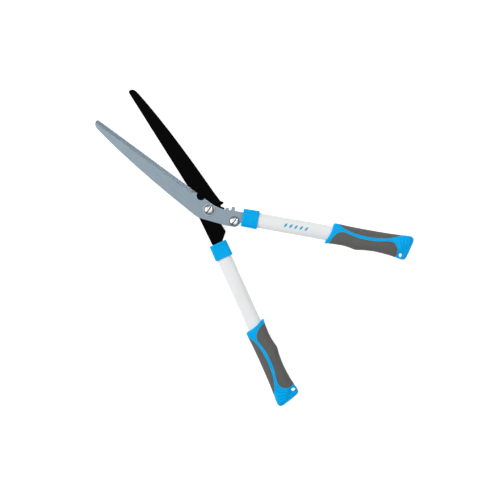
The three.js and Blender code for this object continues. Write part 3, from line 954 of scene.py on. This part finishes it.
def relief(u, v):
    """How far the skin sinks, as 0 or less: a fan of grooves that meet beside the hang hole."""
    du, dv = u - FAN["u"], v - FAN["v"]
    reach = np.hypot(du, dv)
    turn = np.degrees(np.arctan2(du, dv))
    pitch = (FAN["last"] - FAN["first"]) / (GROOVES["count"] - 1)
    fade = GROOVES["fade"]
    along = smooth_step(reach, FAN["near"], FAN["near"] + fade)
    along = along * smooth_step(FAN["far"] - reach, 0, fade)
    depth = 0
    for k in range(GROOVES["count"]):
        away = np.abs(turn - FAN["first"] - k * pitch) * np.radians(1) * reach
        half = GROOVES["half_width"]
        depth = depth + GROOVES["depth"] * smooth_step(half - away, 0, half)
    end_half_width = 19
    to_end = end_u(v / end_half_width) - GROOVES["from_end"] - u
    rim = smooth_step(to_end, 0, 0.9) * smooth_step(u, GROOVES["from_u"], GROOVES["from_u"] + 2)
    return -depth * along * rim


def grooved(ring):
    """A ring of skin points with the grooves sunk into both of its faces."""
    on_face = np.abs(ring[:, 2]) > FACE_Z
    ring[:, 2] += np.sign(ring[:, 2]) * relief(ring[:, 0], ring[:, 1]) * on_face
    return ring


def make_grip_body(prefix, place, body):
    """The moulded shell: a rounded flange, the waisted body and a rounded end with the hang hole."""
    angles = even_angles(GRIP, 176)
    t, _ = superellipse(angles, GRIP["power"])
    length = end_u(t) - flange_u(t)
    flange_radius, end_radius, end_lean = 2.8, 6.5, 2.0
    flange_round = flange_radius / length
    end_round = (end_radius + end_lean * t) / length
    rings = []
    for turn in np.linspace(0, math.pi / 2, 10)[:-1]:
        inset = length * flange_round * (1 - math.sin(turn))
        rings.append(skin(flange_round * (1 - math.cos(turn)), angles, inset))
    for share in np.linspace(0, 1, 260):
        rings.append(grooved(skin(flange_round + (1 - end_round - flange_round) * share, angles)))
    for turn in np.linspace(0, math.pi / 2, 26)[1:]:
        inset = length * end_round * (1 - math.cos(turn))
        rings.append(grooved(skin(1 - end_round * (1 - math.sin(turn)), angles, inset)))
    piece = new_piece(f"{prefix}_grip_shell", *loft(rings), place, "blue", 50)
    combine(piece, hang_hole_tool(place), sharp_above=50)
    combine(piece, socket_tool(place), sharp_above=50)
    settle(piece, body, "blue_plastic", f"{prefix}_grip_body")


def hang_hole_tool(place):
    """A rod that widens at both ends, to leave a flat land round the hole."""
    radius, land, land_z = HANG_HOLE["radius"], HANG_HOLE["land_radius"], HANG_HOLE["land_z"]
    edge, edge_middle, flare = 0.5, 0.15, 8
    half = [
        (radius, land_z - edge),
        (radius + edge_middle, land_z - edge_middle),
        (radius + edge, land_z),
        (land, land_z),
        (land + flare, land_z + flare),
    ]
    lower = [(r, -z) for r, z in reversed(half)]
    profile = [(0, lower[0][1]), *lower, *half, (0, half[-1][1])]
    hole = place @ Matrix.Translation(Vector((HANG_HOLE["u"], HANG_HOLE["v"], 0)) * MM)
    return new_piece("hole_tool", *lathe(profile, 64), hole, "blue")


def socket_tool(place):
    """The mouth of the socket for the tube. What lies deeper is never seen."""
    angles = even_angles(TUBE, 96)
    start, end = 180, 215
    rings = [section_ring(u, TUBE, angles, BORE_GAP) for u in (start, end)]
    return new_piece("socket_tool", *loft(rings), place, "blue")


PAD_EDGE_STEPS = (0, 0.04, 0.1, 0.2, 0.34, 0.52, 0.74, 1.0, 1.3)  # in from the rim
PAD_PROUD = 0.35  # above the shell
PAD_DROP = 0.7  # of the rim, into the shell
PAD_COLUMNS = 260


def pad_rim(boundary, side_angle):
    """The s and angle of points spaced evenly along a pad's rim."""
    curve = catmull_rom(boundary, 3000)
    s, angle = skin_place(curve[:, 0].copy(), curve[:, 1].copy())
    off_side = np.abs(angle - side_angle) > 1e-3
    first, last = np.flatnonzero(off_side)[[0, -1]]
    kept = slice(max(first - 1, 0), min(last + 1, len(s) - 1) + 1)
    s, angle = s[kept], angle[kept]
    steps = np.diff(skin(s, angle), axis=0)
    length = np.concatenate([[0], np.cumsum(np.linalg.norm(steps, axis=1))])
    where = np.linspace(0, length[-1], PAD_COLUMNS)
    return np.interp(where, length, s), np.interp(where, length, angle)


def make_pad(name, boundary, side_angle, place, body, node):
    """A soft pad wrapped round one side of the grip, with its rim turned down into the shell."""
    rim_s, rim_angle = pad_rim(boundary, side_angle)
    side_s = np.linspace(rim_s[0], rim_s[-1], PAD_COLUMNS)

    def between(q):
        """q is 0 on the grip's side and 1 on the rim."""
        return side_s + (rim_s - side_s) * q, side_angle + (rim_angle - side_angle) * q

    walk = np.stack([skin(*between(q)) for q in np.linspace(0, 1, 40)])
    reach = np.sum(np.linalg.norm(np.diff(walk, axis=0), axis=2), axis=0)
    full_size_from = 4  # a narrower stretch of the pad has a smaller rim
    size = np.clip(reach / full_size_from, 0.02, 1)
    rows = []
    for step in PAD_EDGE_STEPS:
        q = 1 - np.minimum(step * size / np.maximum(reach, 1e-6), 0.6)
        rounding = np.sqrt(1 - (1 - step / PAD_EDGE_STEPS[-1]) ** 2)
        rows.append((q, PAD_DROP - (PAD_DROP + PAD_PROUD * size) * rounding))
    inner_q = rows[-1][0]
    for share in np.linspace(1, 0, 26)[1:]:
        rows.append((inner_q * share, -PAD_PROUD * size))
    upper = [skin(*between(q), inset) for q, inset in rows]
    lower = [ring * np.array([1, 1, -1]) for ring in upper[:-1][::-1]]
    grid = np.array(upper + lower)
    faces = grid_faces(len(grid), PAD_COLUMNS)
    piece = new_piece(name, grid.reshape(-1, 3), faces, place, "soft", 60)
    face_outwards(piece.data)
    settle(piece, body, "soft_grip", node)


def face_outwards(mesh):
    """Turns an open sheet's faces away from the handle's axis."""
    total = 0
    for polygon in mesh.polygons:
        away = polygon.center.copy()
        away.x = 0
        total += polygon.normal.dot(away)
    if total < 0:
        mesh.flip_normals()


# ---- The printed mark: a row of slanted leaves ----


def make_mark(place):
    """Five leaves laid on the tube's upper face."""
    count, pitch, length, width, lean = 5, 8.4, 8.6, 3.6, math.radians(58)
    centre_u, lift = 141.6, 0.04
    points, faces = [], []
    rows, columns = 19, 7
    for n in range(count):
        middle = centre_u + (n - (count - 1) / 2) * pitch
        for i in range(rows):
            along = -1 + 2 * i / (rows - 1)
            half = width / 2 * (1 - along**2)
            for k in range(columns):
                side = -1 + 2 * k / (columns - 1)
                x, y = along * length / 2, side * half
                u = middle + x * math.cos(lean) - y * math.sin(lean)
                v = x * math.sin(lean) + y * math.cos(lean)
                points.append((u, v, tube_height(v) + lift))
        faces += grid_faces(rows, columns, n * rows * columns)
    piece = new_piece("leaf_mark", points, faces, place, "ink")
    face_outwards(piece.data)
    settle(piece, "front_half", "blue_plastic")


def tube_height(v):
    """The tube's upper face above a given v."""
    power = TUBE["power"]
    share = min(abs(v) / (TUBE["width"] / 2), 1)
    return TUBE["height"] / 2 * (1 - share**power) ** (1 / power)


# ---- Fasteners ----


def head_profile(radius, height, bottom):
    """A head's section: up the turned rim, over its chamfer and across the dome."""
    edge, chamfer, chamfer_height, crown_drop = 0.3, 0.75, 1.1, 0.35
    top = bottom + height
    rim_top = bottom + height * 0.3
    shoulder = (radius - chamfer, rim_top + chamfer_height)
    profile = [(radius - edge, bottom), (radius, bottom + edge), (radius, rim_top), shoulder]
    first = (radius - chamfer - 1, top - crown_drop)
    second = (radius * 0.5, top)
    for r, z in cubic_points(shoulder, first, second, (0, top), 24):
        profile.append((max(r, 0), z))
    return profile


def make_screw(name, place, screw, bottom, end, body, node):
    """A domed head with a straight slot from bottom up, and a threaded shank down to end."""
    radius, height, shank = screw["radius"], screw["height"], screw["shank"]
    pitch, thread_length = 1.25, 9
    tip, root, crest = shank - 0.9, shank - 0.62, shank - 0.05
    thread = [(0, end), (tip, end)]
    z = end + 0.5
    while z < end + thread_length:
        thread += [(root, z), (crest, z + pitch / 2)]
        z += pitch
    profile = [*thread, (shank, z), (shank, bottom), *head_profile(radius, height, bottom)]
    piece = new_piece(name, *lathe(profile), place, "zinc")
    top, half_slot, rim_width, over = bottom + height, screw["slot"] / 2, 0.95, 1
    slot_floor = top - height * 0.42
    tool = box_mesh((-20, -half_slot, slot_floor), (20, half_slot, top + over))
    combine(piece, new_piece("slot_tool", *tool, place, "zinc"))
    # painted shade on the head's rim and in its slot
    paint_head_shade(piece.data, radius - rim_width, half_slot, slot_floor)
    settle(piece, body, "zinc_plate", node)


def paint_head_shade(mesh, bright_radius, half_slot, slot_floor):
    """Gives the rim of a head and the inside of its slot the painted shade."""
    mesh.materials.append(MATERIALS["head_shade"])
    slack = 0.02
    for polygon in mesh.polygons:
        x, y, z = polygon.center / MM
        in_slot = abs(y) < half_slot + slack and z > slot_floor - slack
        if in_slot or math.hypot(x, y) > bright_radius:
            polygon.material_index = 1


def make_washer(name, place, radii, levels, body, node):
    """A flat washer. radii and levels each go from low to high."""
    edge = 0.25
    piece = new_piece(name, *lathe(ring_profile(*radii, *levels, edge)), place, "plating")
    settle(piece, body, "zinc_plate", node)


def make_nut(name, place, flats, bore, levels, collar_z, body, node):
    """A hexagon with turned corners. A lock nut also has a round collar, from collar_z up to it."""
    bottom, top = levels
    corner, face = flats / math.sqrt(3), flats / 2 - 0.2
    chamfer = (corner - flats / 2) * 0.6
    bore_edge = 0.5
    turns = [math.pi / 3 * i for i in range(6)]
    rings = [[(corner * math.cos(t), corner * math.sin(t), z) for t in turns] for z in levels]
    piece = new_piece(name, *loft(rings), place, "plating")
    profile = [(bore + bore_edge, bottom), (face, bottom), (corner, bottom + chamfer)]
    profile += [(corner, top - chamfer), (face, top), (bore + bore_edge, top)]
    profile += [(bore, top - bore_edge), (bore, bottom + bore_edge)]
    combine(piece, new_piece("turn_tool", *lathe(profile), place, "plating"), "INTERSECT", 25)
    if collar_z is not None:
        outer, wall, sunk, edge = flats / 2 - 0.1, 1.2, 0.3, 0.4
        ring = ring_profile(outer - wall, outer, collar_z, bottom + sunk, edge)
        collar = new_piece("collar_tool", *lathe(ring), place, "plating")
        combine(piece, collar, "UNION", 25)
    settle(piece, body, "zinc_plate", node)


def make_pivot():
    """The slotted bolt on its washer, and below the blades a washer and the lock nut."""
    place, body = half_place(True), "rear_half"
    hole, thickness = PIVOT["hole"], PIVOT["thickness"]
    upper = (BLADE_TOP + GAP, BLADE_TOP + GAP + thickness)
    wave_bottom = -BLADE_TOP - PIVOT_NUT["wave_washer"]
    lower = (wave_bottom - GAP - thickness, wave_bottom - GAP)
    nut = (-REST_DEPTH + PIVOT_NUT["lock_collar"], lower[0] - GAP)
    shank_end = -REST_DEPTH + 0.4
    make_screw("pivot_screw", place, PIVOT_SCREW, upper[1] + GAP, shank_end, body, "pivot_bolt")
    top_radii, low_radii = (hole, PIVOT["top_washer"]), (hole, PIVOT["low_washer"])
    make_washer("pivot_top_washer", place, top_radii, upper, body, "pivot_head_washer")
    make_washer("pivot_low_washer", place, low_radii, lower, body, "pivot_nut_washer")
    make_nut("pivot_hex_nut", place, PIVOT_NUT["flats"], hole, nut, -REST_DEPTH, body, "pivot_lock_nut")


def make_bumper():
    """The slotted screw on the front tang, and below it the rubber buffer, a washer and a nut."""
    x, y = handle_point(FRONT, BUMPER["u"], BUMPER["v"])
    place, body = half_place(True) @ Matrix.Translation(Vector((x, y, 0)) * MM), "front_half"
    hole, rubber = BUMPER["hole"], (-BUMPER["ring_height"], 0.0)
    washer_top = rubber[0] - GAP
    washer = (washer_top - BUMPER_NUT["washer_height"], washer_top)
    nut_top = washer[0] - GAP
    nut = (nut_top - BUMPER_NUT["height"], nut_top)
    shank_end = nut[0] - 0.3
    make_screw("buffer_screw", place, BUMPER_SCREW, BLADE_TOP + GAP, shank_end, body, "bumper_screw")
    profile = ring_profile(hole, BUMPER["ring"], *rubber, 0.8)
    ring = new_piece("buffer_ring", *lathe(profile), place, "buffer")
    settle(ring, body, "buffer_rubber", "bumper_rubber")
    make_washer("buffer_plate", place, (hole, BUMPER_NUT["washer"]), washer, body, "bumper_washer")
    make_nut("buffer_hex_nut", place, BUMPER_NUT["flats"], hole, nut, None, body, "bumper_nut")


# ---- The CAD's own hidden pieces keep their shape and get their finish ----

KEPT_NODES = {
    "nylon": ("pivot_bush", "pivot_nut_nylon_ring"),
    "plating": ("pivot_wave_washer", "front_tang_pin", "rear_tang_pin"),
    "plug": ("front_tang_plug", "rear_tang_plug"),
}


def finish_kept_nodes():
    for material, names in KEPT_NODES.items():
        for name in names:
            data = frame["nodes"][name].data
            data.materials.clear()
            data.materials.append(MATERIALS[material])


# ---- Studio ----


def make_floor():
    """A large pale floor that glows, so that it stays near white beyond the lights."""
    half_size_m, glow = 6, 0.78
    mesh = bpy.data.meshes.new("floor")
    corners = [(-1, -1), (1, -1), (1, 1), (-1, 1)]
    mesh.from_pydata([(x * half_size_m, y * half_size_m, 0) for x, y in corners], [], [(0, 1, 2, 3)])
    g = Graph("floor")
    g.base((0.6, 0.6, 0.6), 0.9, specular=0.0)
    g.shader.inputs["Emission Color"].default_value = (1, 1, 1, 1)
    g.shader.inputs["Emission Strength"].default_value = glow
    mesh.materials.append(g.material)
    floor = bpy.data.objects.new("floor", mesh)
    bpy.context.scene.collection.objects.link(floor)


def make_light(name, place, size_m, watts):
    """A square soft light, in metres, aimed at the origin."""
    data = bpy.data.lights.new(name, "AREA")
    data.shape = "SQUARE"
    data.size = size_m
    data.energy = watts
    light = bpy.data.objects.new(name, data)
    light.location = place
    light.rotation_euler = (-Vector(place)).to_track_quat("-Z", "Y").to_euler()
    bpy.context.scene.collection.objects.link(light)


def make_world():
    """A pale dome that darkens towards the horizon."""
    low, high = 0.05, 0.9  # shares of the dome's height
    horizon, zenith = 0.2, 0.38
    world = bpy.data.worlds.new("studio")
    world.use_nodes = True
    nodes, links = world.node_tree.nodes, world.node_tree.links
    height = nodes.new("ShaderNodeSeparateXYZ")
    links.new(nodes.new("ShaderNodeTexCoord").outputs["Generated"], height.inputs[0])
    ramp = nodes.new("ShaderNodeMapRange")
    for key, value in enumerate((low, high, horizon, zenith), start=1):
        ramp.inputs[key].default_value = value
    links.new(height.outputs["Z"], ramp.inputs["Value"])
    background = nodes["Background"]
    links.new(ramp.outputs["Result"], background.inputs["Strength"])
    background.inputs["Color"].default_value = (1, 1, 1, 1)
    bpy.context.scene.world = world


def make_studio():
    bpy.context.scene.view_settings.view_transform = "Standard"
    make_world()
    make_floor()
    make_light("soft_side", (-0.9, 1.15, 1.6), 1.3, 25)
    make_light("soft_top", (0.1, -0.1, 2.7), 1.8, 9.5)
    make_light("small_right", (0.9, 0.1, 1.3), 0.12, 5)


# ---- Everything ----


def make_handle(prefix, side, is_front, body):
    """Tube, collar and grip. A pad's angle is 0 on the outer side of the grip and pi on the inner."""
    place = handle_place(side, is_front)
    grip_place = handle_place(side, is_front, side["grip_shift"])
    make_tube(prefix, place, body)
    make_collar(prefix, place, body)
    make_grip_body(prefix, grip_place, body)
    make_pad(f"{prefix}_palm_rubber", PALM_PAD, 0.0, grip_place, body, f"{prefix}_palm_pad")
    make_pad(f"{prefix}_finger_rubber", FINGER_PAD, math.pi, grip_place, body, f"{prefix}_finger_pad")


make_blades()
make_handle("front", FRONT, True, "front_half")
make_handle("rear", REAR, False, "rear_half")
make_mark(handle_place(FRONT, True))
make_pivot()
make_bumper()
finish_kept_nodes()
make_studio()
